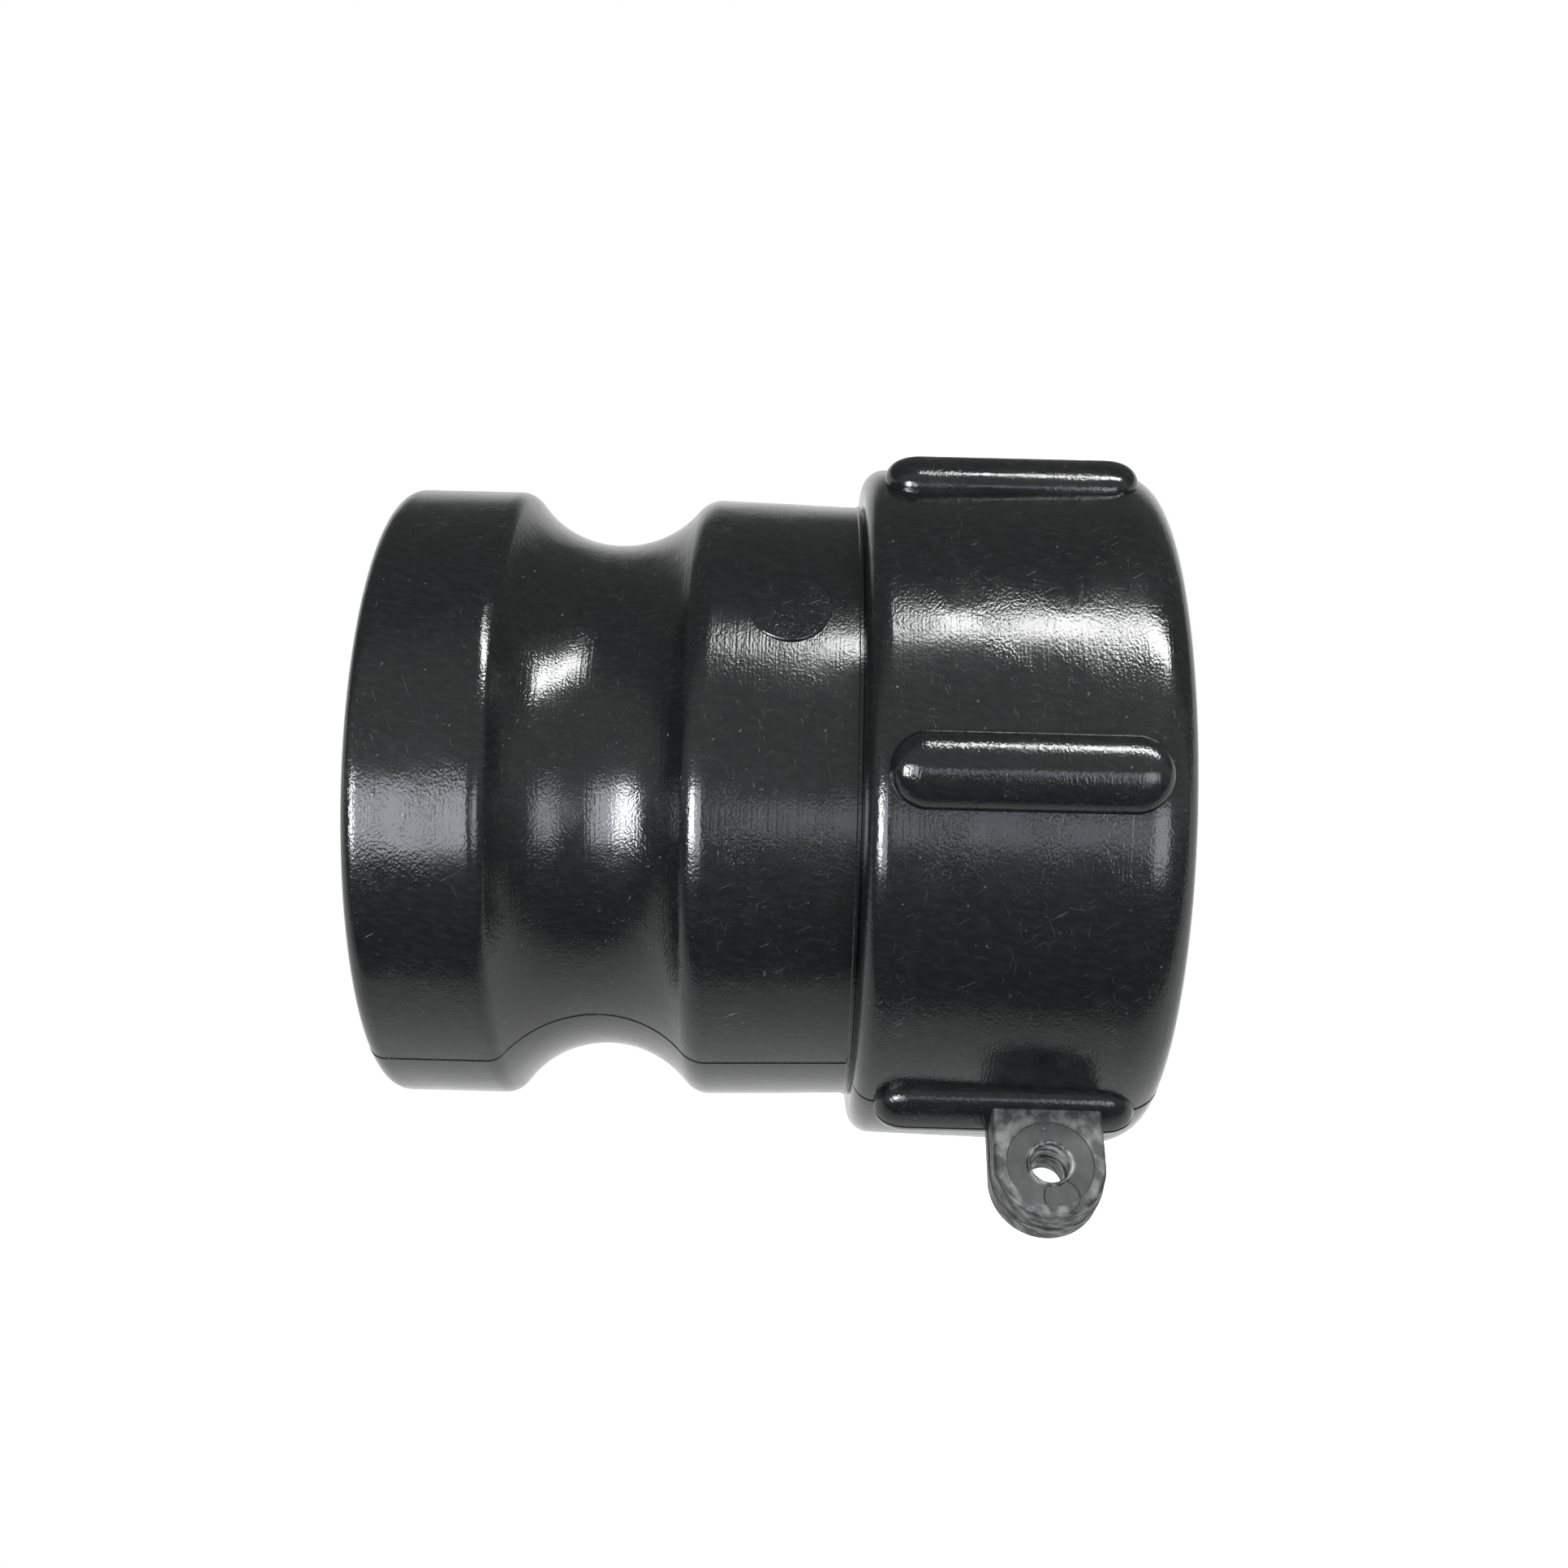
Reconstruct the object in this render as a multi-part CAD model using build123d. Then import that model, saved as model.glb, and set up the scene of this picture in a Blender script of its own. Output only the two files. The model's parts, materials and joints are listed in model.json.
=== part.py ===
"""Camlock adapter: a cam-grooved spigot moulded in one with a ribbed, internally threaded collar.

The part stands on the mouth of its collar. The origin is on the bore axis in the plane of that mouth,
+Z runs along the bore to the nose of the spigot, and the mould opens along Y, so the parting plane is XZ.
The tether lug is on the -X side, in the parting plane. The only loose piece is the gasket in the socket.
"""

from build123d import *
from math import radians, sin, tan
import os

# Heights above the mouth of the collar
TOTAL_LENGTH = 75.4
COLLAR_LENGTH = 29.0
SHOULDER_THICKNESS = 3.4
SOCKET_DEPTH = COLLAR_LENGTH - SHOULDER_THICKNESS

# Bore and spigot
BORE_R = 22.5
HEAD_R = 31.35
BARREL_FRONT_R = 31.1
BARREL_REAR_R = 30.6
NOSE_EDGE_R = 1.7
BORE_EDGE_R = 1.0

# Cam groove: a round channel that the arms of the mating coupler press into
GROOVE_Z = 53.7
GROOVE_BOTTOM_R = 26.1
GROOVE_ARC_R = 10.8
HEAD_EDGE_R = 1.9
BARREL_EDGE_R = 3.0
NECK_HALF_LENGTH = 5.6

# Collar, with moulding draft from its mouth to its rear
COLLAR_MOUTH_R = 35.07
COLLAR_REAR_R = 34.4
MOUTH_EDGE_R = 3.1
REAR_EDGE_R = 2.2
SOCKET_R = 30.25
MOUTH_CHAMFER = 1.2

# Buttress thread of the socket: coarse, right-handed, steep flank towards the shoulder
THREAD_PITCH = 6.0
THREAD_CREST_R = 27.3
THREAD_CREST_WIDTH = 1.1
LOAD_FLANK_DEG = 10.0
LEAD_FLANK_DEG = 40.0
THREAD_START_Z = 2.0
THREAD_TURNS = 2.6
WALL_BITE = 0.5

# Gasket, flat against the shoulder
GASKET_OUTER_R = 29.2
GASKET_INNER_R = 23.5
GASKET_THICKNESS = 3.2

# Grip ribs, evenly round the collar from the lug
RIB_COUNT = 6
RIB_LENGTH = 24.5
RIB_WIDTH = 6.9
RIB_CREST_R = 37.0
RIB_LOW_Z = 2.5
RIB_BASE_R = 33.4
RIB_FOOT_R = 34.75
RIB_EDGE_R = 1.6
STEEP_FLANK_DEG = 8.0
DRAFTED_FLANK_DEG = 32.0
PARTING_FLANK_DEG = 24.0
END_FLANK_DEG = 14.0
LUG_RIB_ANGLE = 180.0

# Tether lug, standing out of one rib
LUG_Z = 11.1
LUG_EYE_REACH = 41.3
LUG_TIP_R = 5.2
LUG_THICKNESS = 5.3
LUG_ROOT_REACH = 33.0
LUG_EDGE_R = 0.5
EYE_R = 1.9


def band(low_z, high_z):
    """A strip of the half-section between two heights, wide enough for any radius here."""
    width = 2 * RIB_CREST_R
    middle = (low_z + high_z) / 2
    return Pos(width / 2, middle) * Rectangle(width, high_z - low_z)


def turned(half_section):
    """Turns a half-section, drawn as (radius, height), round the bore axis."""
    return revolve(Plane.XZ * half_section, Axis.Z)


def corner(half_section, radius, height):
    """The corner of a half-section nearest a place."""
    return [min(half_section.vertices(), key=lambda v: (v.X - radius) ** 2 + (v.Y - height) ** 2)]


def spigot_section():
    """Nose, cam groove and barrel in one half-section."""
    section = Polygon(
        (BORE_R, COLLAR_LENGTH),
        (BARREL_REAR_R, COLLAR_LENGTH),
        (BARREL_FRONT_R, GROOVE_Z - NECK_HALF_LENGTH),
        (HEAD_R, GROOVE_Z + NECK_HALF_LENGTH),
        (HEAD_R, TOTAL_LENGTH),
        (BORE_R, TOTAL_LENGTH),
        align=None,
    )
    section -= Pos(GROOVE_BOTTOM_R + GROOVE_ARC_R, GROOVE_Z) * Circle(GROOVE_ARC_R)
    for side, edge_r in ((-1, BARREL_EDGE_R), (1, HEAD_EDGE_R)):
        edge = corner(section, HEAD_R, GROOVE_Z + side * GROOVE_ARC_R)
        section = fillet(edge, edge_r)
    section = fillet(corner(section, HEAD_R, TOTAL_LENGTH), NOSE_EDGE_R)
    return fillet(corner(section, BORE_R, TOTAL_LENGTH), BORE_EDGE_R)


def collar_section():
    """Skirt and shoulder of the collar in one half-section."""
    section = Polygon(
        (SOCKET_R, 0),
        (COLLAR_MOUTH_R, 0),
        (COLLAR_REAR_R, COLLAR_LENGTH),
        (BORE_R, COLLAR_LENGTH),
        (BORE_R, SOCKET_DEPTH),
        (SOCKET_R, SOCKET_DEPTH),
        align=None,
    )
    section = fillet(corner(section, COLLAR_MOUTH_R, 0), MOUTH_EDGE_R)
    section = fillet(corner(section, COLLAR_REAR_R, COLLAR_LENGTH), REAR_EDGE_R)
    return chamfer(corner(section, SOCKET_R, 0), MOUTH_CHAMFER)


def buttress_thread():
    """The helical ridge inside the socket, trimmed to lie on the socket's wall."""
    base_r = SOCKET_R + WALL_BITE
    rise = base_r - THREAD_CREST_R
    half_crest = THREAD_CREST_WIDTH / 2
    load_foot = half_crest + rise * tan(radians(LOAD_FLANK_DEG))
    lead_foot = half_crest + rise * tan(radians(LEAD_FLANK_DEG))
    tooth = Polygon(
        (THREAD_CREST_R, -half_crest),
        (base_r, -lead_foot),
        (base_r, load_foot),
        (THREAD_CREST_R, half_crest),
        align=None,
    )
    path = Helix(THREAD_PITCH, THREAD_PITCH * THREAD_TURNS, SOCKET_R)
    ridge = sweep(Plane.XZ * tooth, path=path, is_frenet=True)
    ridge &= Cylinder(SOCKET_R, 2 * TOTAL_LENGTH)
    return Pos(0, 0, THREAD_START_Z + lead_foot) * ridge


def flat_gasket():
    """A plain ring, seated on the shoulder and held behind the thread."""
    low = SOCKET_DEPTH - GASKET_THICKNESS
    ring = Polygon(
        (GASKET_INNER_R, low),
        (GASKET_OUTER_R, low),
        (GASKET_OUTER_R, SOCKET_DEPTH),
        (GASKET_INNER_R, SOCKET_DEPTH),
        align=None,
    )
    return turned(ring)


def rib_outline(radius, low_flank_deg, high_flank_deg):
    """The rib's outline at a radius: a slot whose flanks and ends draw in as the rib rises."""
    rise = radius - RIB_FOOT_R
    low_half = RIB_WIDTH / 2 - rise * tan(radians(low_flank_deg))
    high_half = RIB_WIDTH / 2 - rise * tan(radians(high_flank_deg))
    length = RIB_LENGTH - 2 * rise * tan(radians(END_FLANK_DEG))
    middle = (radius, 0, RIB_LOW_Z + RIB_LENGTH / 2)
    place = Plane(origin=middle, x_dir=(0, 0, -1), z_dir=(1, 0, 0))
    return place * Pos(0, (high_half - low_half) / 2) * SlotOverall(length, low_half + high_half)


def flanks_at(angle):
    """A rib's two flank angles: the flank nearer the parting plane is drafted so that the mould opens."""
    lean = round(sin(radians(2 * angle)))
    if lean == 0:
        return PARTING_FLANK_DEG, PARTING_FLANK_DEG
    if lean > 0:
        return DRAFTED_FLANK_DEG, STEEP_FLANK_DEG
    return STEEP_FLANK_DEG, DRAFTED_FLANK_DEG


def grip_rib(angle, collar):
    """One rounded rib, standing on the collar at an angle round the bore."""
    flanks = flanks_at(angle)
    outlines = [rib_outline(radius, *flanks) for radius in (RIB_BASE_R, RIB_CREST_R)]
    rib = loft(outlines, ruled=True)
    crest = rib.faces().sort_by(Axis.X)[-1]
    rib = fillet(crest.edges(), RIB_EDGE_R)
    return Rot(0, 0, angle) * rib - collar


def tether_lug(rib, collar):
    """A flat tongue with a round end and an eye, lying in the parting plane."""
    flat = Plane(origin=(0, 0, LUG_Z), x_dir=(-1, 0, 0), z_dir=(0, 1, 0))
    stem_length = LUG_EYE_REACH - LUG_ROOT_REACH
    tongue = Pos(LUG_ROOT_REACH + stem_length / 2, 0) * Rectangle(stem_length, 2 * LUG_TIP_R)
    tongue += Pos(LUG_EYE_REACH, 0) * Circle(LUG_TIP_R)
    lug = extrude(flat * tongue, LUG_THICKNESS / 2, both=True)
    rims = lug.faces().filter_by(Axis.Y).edges()
    root = rims.sort_by(Axis.X)[-2:]
    lug = fillet([rim for rim in rims if rim not in root], LUG_EDGE_R)
    eye = Pos(LUG_EYE_REACH, 0) * Circle(EYE_R)
    lug -= extrude(flat * eye, LUG_THICKNESS, both=True)
    return lug - collar - rib


def main():
    os.makedirs("parts", exist_ok=True)
    spigot = spigot_section()
    collar = collar_section()
    neck_low = GROOVE_Z - NECK_HALF_LENGTH
    neck_high = GROOVE_Z + NECK_HALF_LENGTH
    whole_collar = turned(collar)
    nodes = {
        "spigot_barrel": turned(spigot & band(COLLAR_LENGTH, neck_low)),
        "cam_groove_neck": turned(spigot & band(neck_low, neck_high)),
        "spigot_nose": turned(spigot & band(neck_high, TOTAL_LENGTH)),
        "collar_shoulder": turned(collar & band(SOCKET_DEPTH, COLLAR_LENGTH)),
        "collar_skirt": turned(collar & band(0, SOCKET_DEPTH)),
        "buttress_thread": buttress_thread(),
        "flat_gasket": flat_gasket(),
    }
    for index in range(RIB_COUNT):
        angle = LUG_RIB_ANGLE + index * 360 / RIB_COUNT
        nodes[f"grip_rib_{index + 1}"] = grip_rib(angle, whole_collar)
    nodes["tether_lug"] = tether_lug(nodes["grip_rib_1"], whole_collar)
    for name, solid in nodes.items():
        export_step(solid, f"parts/{name}.step")


main()
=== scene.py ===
"""Camlock adapter in black moulded polypropylene: the finished pieces that stand on the CAD frame."""

import json
from math import atan2, cos, degrees, hypot, pi, radians, sin, sqrt

import bmesh
import bpy
from bpy.props import FloatProperty, FloatVectorProperty, PointerProperty
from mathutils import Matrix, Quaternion, Vector


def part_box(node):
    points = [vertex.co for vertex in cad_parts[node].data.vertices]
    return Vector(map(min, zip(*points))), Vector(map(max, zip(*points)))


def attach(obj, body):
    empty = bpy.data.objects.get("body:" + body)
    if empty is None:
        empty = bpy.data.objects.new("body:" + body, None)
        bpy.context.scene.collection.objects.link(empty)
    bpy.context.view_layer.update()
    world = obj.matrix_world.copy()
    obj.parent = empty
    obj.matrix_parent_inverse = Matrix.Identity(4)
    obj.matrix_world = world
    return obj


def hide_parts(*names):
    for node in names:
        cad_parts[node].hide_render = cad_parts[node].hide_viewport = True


bl_info = {
    "name": "Camlock adapter",
    "version": (1, 0, 0),
    "blender": (4, 5, 0),
    "location": "View3D > Sidebar > Adapter",
    "description": "Models the pieces and finishes of a grooved spigot adapter on its CAD frame",
    "category": "Object",
}

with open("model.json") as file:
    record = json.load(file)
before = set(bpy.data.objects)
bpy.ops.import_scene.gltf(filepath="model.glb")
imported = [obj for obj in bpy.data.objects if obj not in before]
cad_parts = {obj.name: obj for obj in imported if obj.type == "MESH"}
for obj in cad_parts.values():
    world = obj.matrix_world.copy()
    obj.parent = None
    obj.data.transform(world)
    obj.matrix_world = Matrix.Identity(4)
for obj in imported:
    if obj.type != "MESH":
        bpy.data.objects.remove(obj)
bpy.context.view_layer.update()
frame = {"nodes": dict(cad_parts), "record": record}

MM = 0.001
# A distance that counts as none
HAIR = MM / 1000
MOUNTS = {mount["name"]: mount for mount in frame["record"]["mounts"]}


# Places that the frame gives


def top_of(node):
    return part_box(node)[1].z


def foot_of(node):
    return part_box(node)[0].z


def reach_of(node):
    """How far a turned node stands from the bore axis."""
    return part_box(node)[1].y


NOSE_Z = top_of("spigot_nose")
SEAM_Z = foot_of("spigot_barrel")
SOCKET_Z = foot_of("collar_shoulder")
GROOVE_Z = (foot_of("cam_groove_neck") + top_of("cam_groove_neck")) / 2
HEAD_R = reach_of("spigot_nose")
BORE_R = MOUNTS["bore"]["dims"]["r_mm"] * MM
EYE_R = MOUNTS["tether_eye"]["dims"]["r_mm"] * MM
EYE = Vector(MOUNTS["tether_eye"]["pos_m"])
LUG_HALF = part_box("tether_lug")[1].y
LUG_TIP_R = top_of("tether_lug") - EYE.z
RIB_LOW, RIB_HIGH = foot_of("grip_rib_1"), top_of("grip_rib_1")
RIB_CREST_R = -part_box("grip_rib_1")[0].x
GASKET_R = reach_of("flat_gasket")
GASKET_LOW, GASKET_HIGH = foot_of("flat_gasket"), top_of("flat_gasket")


def linear(hex_colour):
    """Turns an sRGB hex colour to linear RGB."""
    channels = [int(hex_colour[place:place + 2], 16) / 255 for place in (1, 3, 5)]
    return tuple(c / 12.92 if c <= 0.04045 else ((c + 0.055) / 1.055) ** 2.4 for c in channels)


def length(name, description, default_mm):
    return FloatProperty(
        name=name, description=description, default=default_mm * MM, precision=5, subtype="DISTANCE", unit="LENGTH"
    )


def colour(name, description, default_hex):
    return FloatVectorProperty(
        name=name, description=description, default=linear(default_hex), subtype="COLOR", min=0, max=1
    )


class AdapterSpigot(bpy.types.PropertyGroup):
    """Sizes of the spigot: nose, cam groove and barrel."""

    groove_bottom_r: length("Groove bottom radius", "Radius from the bore axis to the bottom of the cam groove", 26.1)
    groove_arc_r: length("Groove arc radius", "Radius of the groove's round section", 10.8)
    head_edge_r: length("Head edge radius", "Rounding where the groove meets the head", 1.9)
    barrel_edge_r: length("Barrel edge radius", "Rounding where the groove meets the barrel", 3.0)
    barrel_front_r: length("Barrel front radius", "Radius of the barrel beside the groove", 30.98)
    barrel_rear_r: length("Barrel rear radius", "Radius of the barrel at the collar", 30.6)
    nose_edge_r: length("Nose edge radius", "Rounding of the nose's outer edge", 1.7)
    bore_edge_r: length("Bore edge radius", "Rounding of the bore's edge at the nose", 1.0)
    witness_height: length("Witness height", "How far the moulding ring beside the collar stands out", 0.13)
    witness_width: length("Witness width", "Width of the moulding ring beside the collar", 0.28)
    gap_depth: length("Gap depth", "Depth of the sharp corner between the ring and the collar", 0.22)


class AdapterCollar(bpy.types.PropertyGroup):
    """Sizes of the threaded collar."""

    mouth_r: length("Mouth radius", "Radius at the mouth, before its edge is rounded", 35.07)
    rear_r: length("Rear radius", "Radius at the end beside the barrel, before its edge is rounded", 34.4)
    mouth_edge_r: length("Mouth edge radius", "Rounding of the outer edge at the mouth", 3.1)
    mouth_edge_length: length("Mouth edge length", "Length of the mouth's rounded edge along the bore", 4.5)
    rear_edge_r: length("Rear edge radius", "Rounding of the outer edge beside the barrel", 2.2)
    socket_r: length("Socket radius", "Radius of the socket's wall at the root of the thread", 30.25)
    mouth_chamfer: length("Mouth chamfer", "Lead-in chamfer of the socket", 1.2)


class AdapterRib(bpy.types.PropertyGroup):
    """Shape of one grip rib."""

    width: length("Width", "Width of a rib where it meets the collar", 6.9)
    foot_r: length("Foot radius", "Distance of a rib's foot from the bore axis", 34.75)
    sink: length("Sink", "How far a rib reaches into the collar's wall", 0.9)
    steep: FloatProperty(name="Steep flank", description="Fullness of the upright flank, 0 is boxy", default=0.95)
    drafted: FloatProperty(name="Drafted flank", description="Fullness of the drafted flank, 1 is round", default=1.45)
    end: FloatProperty(name="End", description="Fullness of the ends, 0 is boxy", default=0.8)


class AdapterLug(bpy.types.PropertyGroup):
    """Shape of the tether lug."""

    root_reach: length("Root reach", "Distance of the lug's root from the bore axis", 34.6)
    draft: length("Draft", "How far each half draws in from the parting line to its face", 0.08)
    rim_r: length("Rim radius", "Rounding of the lug's outer edges", 0.4)
    mismatch: length("Mismatch", "Step between the two mould halves at the parting line", 0.1)
    disc_r: length("Disc radius", "Radius of the round mould insert's mark about the eye", 4.0)
    disc_depth: length("Disc depth", "How far the mark about the eye is sunk", 0.09)
    lip_r: length("Lip radius", "Outer radius of the lip around the eye", 2.2)
    lip_height: length("Lip height", "How far the lip around the eye stands out", 0.14)
    eye_draw: length("Eye draw", "How far the eye draws in from its lip", 0.1)
    pin_mark_r: length("Pin mark radius", "Radius of the small ring on the lug's face", 1.6)
    pin_mark_out: length("Pin mark outwards", "Distance of the small ring's middle from the eye, outwards", 3.1)
    pin_mark_down: length("Pin mark down", "Distance of the small ring's middle from the eye, to the mouth", 0.85)


class AdapterGasket(bpy.types.PropertyGroup):
    """Sizes of the flat gasket."""

    inner_r: length("Inner radius", "Radius of the gasket's hole", 23.5)
    edge_r: length("Edge radius", "Rounding of the gasket's edges", 0.3)


class AdapterMarks(bpy.types.PropertyGroup):
    """Fine marks that the mould leaves."""

    flash_r: length("Flash size", "How far the parting line stands out", 0.09)
    insert_r: length("Insert radius", "Radius of the round mark on the barrel", 3.85)
    insert_z: length("Insert height", "Height of the round mark's middle above the mouth", 35.95)
    insert_step: length("Insert step", "How far the flat round mark stands out of the wall at its middle", 0.05)
    pin_line: length("Pin mark line", "Thickness of the small ring on the lug", 0.12)


class AdapterFinish(bpy.types.PropertyGroup):
    """Colours of the materials."""

    body: colour("Body", "Black polypropylene", "#0b0d0d")
    lug: colour("Lug", "Polypropylene of the lug's dulled faces", "#151817")
    # Pale colour of scratches and rubbed patches, and on the lug also of a painted highlight on the eye's lip and a
    # painted reflection on its face
    scuff_and_sheen: colour("Scuff", "Polypropylene where it is rubbed pale", "#6a6f6c")
    gasket: colour("Gasket", "Black rubber", "#121212")
    bloom: colour("Bloom", "Pale bloom on the rubber", "#3a3a38")


class AdapterStage(bpy.types.PropertyGroup):
    """Camera and lights."""

    azimuth: FloatProperty(name="Azimuth", description="Camera's angle round the bore axis", default=radians(-35),
                           subtype="ANGLE", unit="ROTATION")
    elevation: FloatProperty(name="Elevation", description="Camera's angle above the floor", default=radians(-0.375),
                             subtype="ANGLE", unit="ROTATION")
    roll: FloatProperty(name="Roll", description="Camera's turn about its own line of sight", default=radians(-88.587),
                        subtype="ANGLE", unit="ROTATION")
    distance: length("Distance", "Camera's distance from the bore axis", 179.92)
    aim_height: length("Aim height", "Height of the point on the axis that the camera faces", 36.27)
    aim_shift: length("Aim shift", "How far the bore axis lies below the camera's line of sight", 1.5)
    lens: FloatProperty(name="Lens", description="Focal length for a 36 mm sensor, in millimetres", default=38.93)
    strip: FloatProperty(name="Strip light", description="Radiance of the narrow light", default=20)
    window: FloatProperty(name="Window light", description="Radiance of the broad light", default=8)
    floor_colour: colour("Floor", "Pale floor", "#f4f4f2")


GROUPS = {
    "adapter_spigot": AdapterSpigot,
    "adapter_collar": AdapterCollar,
    "adapter_rib": AdapterRib,
    "adapter_lug": AdapterLug,
    "adapter_gasket": AdapterGasket,
    "adapter_marks": AdapterMarks,
    "adapter_finish": AdapterFinish,
    "adapter_stage": AdapterStage,
}


# Modelling by hand


# Sides of a turned body
ROUND = 256
# Distance of a supporting ring from the end of a run
SUPPORT = 0.2 * MM
# Faces that meet at a smaller angle are shaded as one
SMOOTH_DEG = 35


def begin(name, primitive, **where):
    """Adds a primitive with nothing else selected, and opens it in edit mode with all of it selected."""
    if bpy.context.object and bpy.context.object.mode != "OBJECT":
        bpy.ops.object.mode_set(mode="OBJECT")
    bpy.ops.object.select_all(action="DESELECT")
    primitive(**where)
    piece = bpy.context.object
    piece.name = piece.data.name = name
    bpy.ops.object.transform_apply(location=True, rotation=True, scale=True)
    bpy.ops.object.mode_set(mode="EDIT")
    bpy.ops.mesh.select_mode(type="VERT")
    bpy.ops.mesh.select_all(action="SELECT")
    return piece


def extrude(shift):
    bpy.ops.mesh.extrude_region_move(TRANSFORM_OT_translate={"value": tuple(shift)})


def move(shift):
    bpy.ops.transform.translate(value=tuple(shift))


def resize(factors, about):
    bpy.ops.transform.resize(value=tuple(factors), center_override=tuple(about))


def select(piece, test):
    """Selects the vertices that pass a test."""
    bpy.ops.mesh.select_all(action="DESELECT")
    mesh = bmesh.from_edit_mesh(piece.data)
    mesh.verts.index_update()
    for vertex in mesh.verts:
        vertex.select_set(test(vertex))
    mesh.select_flush(True)
    bmesh.update_edit_mesh(piece.data)


def close_up():
    """Welds the places where a shape meets itself, and turns its faces outwards."""
    bpy.ops.mesh.select_all(action="SELECT")
    bpy.ops.mesh.remove_doubles(threshold=HAIR)
    bpy.ops.mesh.normals_make_consistent(inside=False)


def dress(piece, material, stands_for=()):
    """Leaves edit mode, smooths a piece, gives it its material and puts it on the frame."""
    if piece.mode == "EDIT":
        bpy.ops.object.mode_set(mode="OBJECT")
    bpy.ops.object.shade_smooth_by_angle(angle=radians(SMOOTH_DEG))
    piece.data.materials.clear()
    piece.data.materials.append(material)
    if stands_for:
        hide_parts(*stands_for)
    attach(piece, "root")


def arc(middle, radius, start_deg, end_deg, steps=8):
    """Stations of (radius, height) round an arc, 0 degrees being straight out from the bore."""
    turns = [radians(start_deg + (end_deg - start_deg) * step / steps) for step in range(steps + 1)]
    return [(middle[0] + radius * cos(turn), middle[1] + radius * sin(turn)) for turn in turns]


def supported(stations):
    """Adds a ring close to each end of a long run, so that its shading stays straight."""
    rings = [stations[0]]
    for start, end in zip(stations, stations[1:]):
        run = Vector(end) - Vector(start)
        if run.length > 5 * SUPPORT:
            step = run.normalized() * SUPPORT
            rings += [tuple(Vector(start) + step), tuple(Vector(end) - step)]
        rings.append(end)
    return rings


def turned(name, stations):
    """A closed body of revolution about the bore, extruded ring by ring through its stations."""
    rings = supported([*stations, stations[0]])
    radius, height = rings[0]
    piece = begin(name, bpy.ops.mesh.primitive_circle_add, vertices=ROUND, radius=radius, location=(0, 0, height))
    for next_radius, next_height in rings[1:]:
        extrude((0, 0, next_height - height))
        growth = next_radius / radius
        resize((growth, growth, 1), (0, 0, next_height))
        radius, height = next_radius, next_height
    close_up()
    return piece


def groove_edge(sizes, wall_r, edge_r):
    """How far a rounded groove edge lies from the groove's middle, and the angle that it turns through."""
    out = sizes.groove_bottom_r + sizes.groove_arc_r - (wall_r - edge_r)
    along = sqrt((sizes.groove_arc_r + edge_r) ** 2 - out ** 2)
    return along, degrees(atan2(along, out))


def outer_stations(sizes):
    """The outside of the spigot, from the collar to the nose."""
    rear_r, front_r, nose_r = sizes.barrel_edge_r, sizes.head_edge_r, sizes.nose_edge_r
    rear_along, rear_turn = groove_edge(sizes, sizes.barrel_front_r, rear_r)
    front_along, front_turn = groove_edge(sizes, HEAD_R, front_r)
    groove_middle = (sizes.groove_bottom_r + sizes.groove_arc_r, GROOVE_Z)
    gap_r = sizes.barrel_rear_r - sizes.gap_depth
    ring_r = sizes.barrel_rear_r + sizes.witness_height
    ring_z = SEAM_Z + sizes.gap_depth
    slope = 0.4 * sizes.witness_width
    return [
        (gap_r, SEAM_Z),
        (gap_r, SEAM_Z + sizes.gap_depth / 2),
        (ring_r, ring_z),
        (ring_r, ring_z + sizes.witness_width),
        (sizes.barrel_rear_r, ring_z + sizes.witness_width + slope),
        *arc((sizes.barrel_front_r - rear_r, GROOVE_Z - rear_along), rear_r, 0, rear_turn, 12),
        *arc(groove_middle, sizes.groove_arc_r, 180 + rear_turn, 180 - front_turn, 28)[1:-1],
        *arc((HEAD_R - front_r, GROOVE_Z + front_along), front_r, -front_turn, 0),
        *arc((HEAD_R - nose_r, NOSE_Z - nose_r), nose_r, 0, 90),
    ]


def collar_stations(sizes):
    """The outside of the collar, from its mouth to the barrel: each corner as deep as its edge radius, and longer."""
    slope = (sizes.mouth_r - sizes.rear_r) / SEAM_Z
    corners = []
    for edge_r, edge_length, end_z, start in (
        (sizes.mouth_edge_r, sizes.mouth_edge_length, 0, -90),
        (sizes.rear_edge_r, sizes.rear_edge_r, SEAM_Z, 0),
    ):
        inwards = 1 if end_z == 0 else -1
        middle_z = end_z + inwards * edge_length
        wall_r = sizes.mouth_r - slope * middle_z
        stretch = edge_length / edge_r
        corners += [(radius, middle_z + stretch * (height - middle_z))
                    for radius, height in arc((wall_r - edge_r, middle_z), edge_r, start, start + 90, 12)]
    return corners


def barrel_r(sizes, height):
    """The barrel's radius at a height, between the collar and the groove."""
    front_z = GROOVE_Z - groove_edge(sizes, sizes.barrel_front_r, sizes.barrel_edge_r)[0]
    share = (height - SEAM_Z) / (front_z - SEAM_Z)
    return sizes.barrel_rear_r + share * (sizes.barrel_front_r - sizes.barrel_rear_r)


def thread_of(name, stations, thickness):
    """A thin line of diamond section, extruded along its stations."""
    where = {"vertices": 4, "radius": thickness, "fill_type": "NGON", "location": tuple(stations[0])}
    piece = begin(name, bpy.ops.mesh.primitive_circle_add, **where)
    for start, end in zip(stations, stations[1:]):
        extrude(Vector(end) - Vector(start))
    bpy.ops.mesh.edge_face_add()
    close_up()
    return piece


# Materials


def feed(tree, node, inputs):
    """Sets a node's inputs, or links them to other nodes."""
    for place, value in inputs.items():
        if isinstance(value, bpy.types.Node):
            value = value.outputs[0]
        if isinstance(value, bpy.types.NodeSocket):
            tree.links.new(value, node.inputs[place])
        else:
            node.inputs[place].default_value = value


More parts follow.
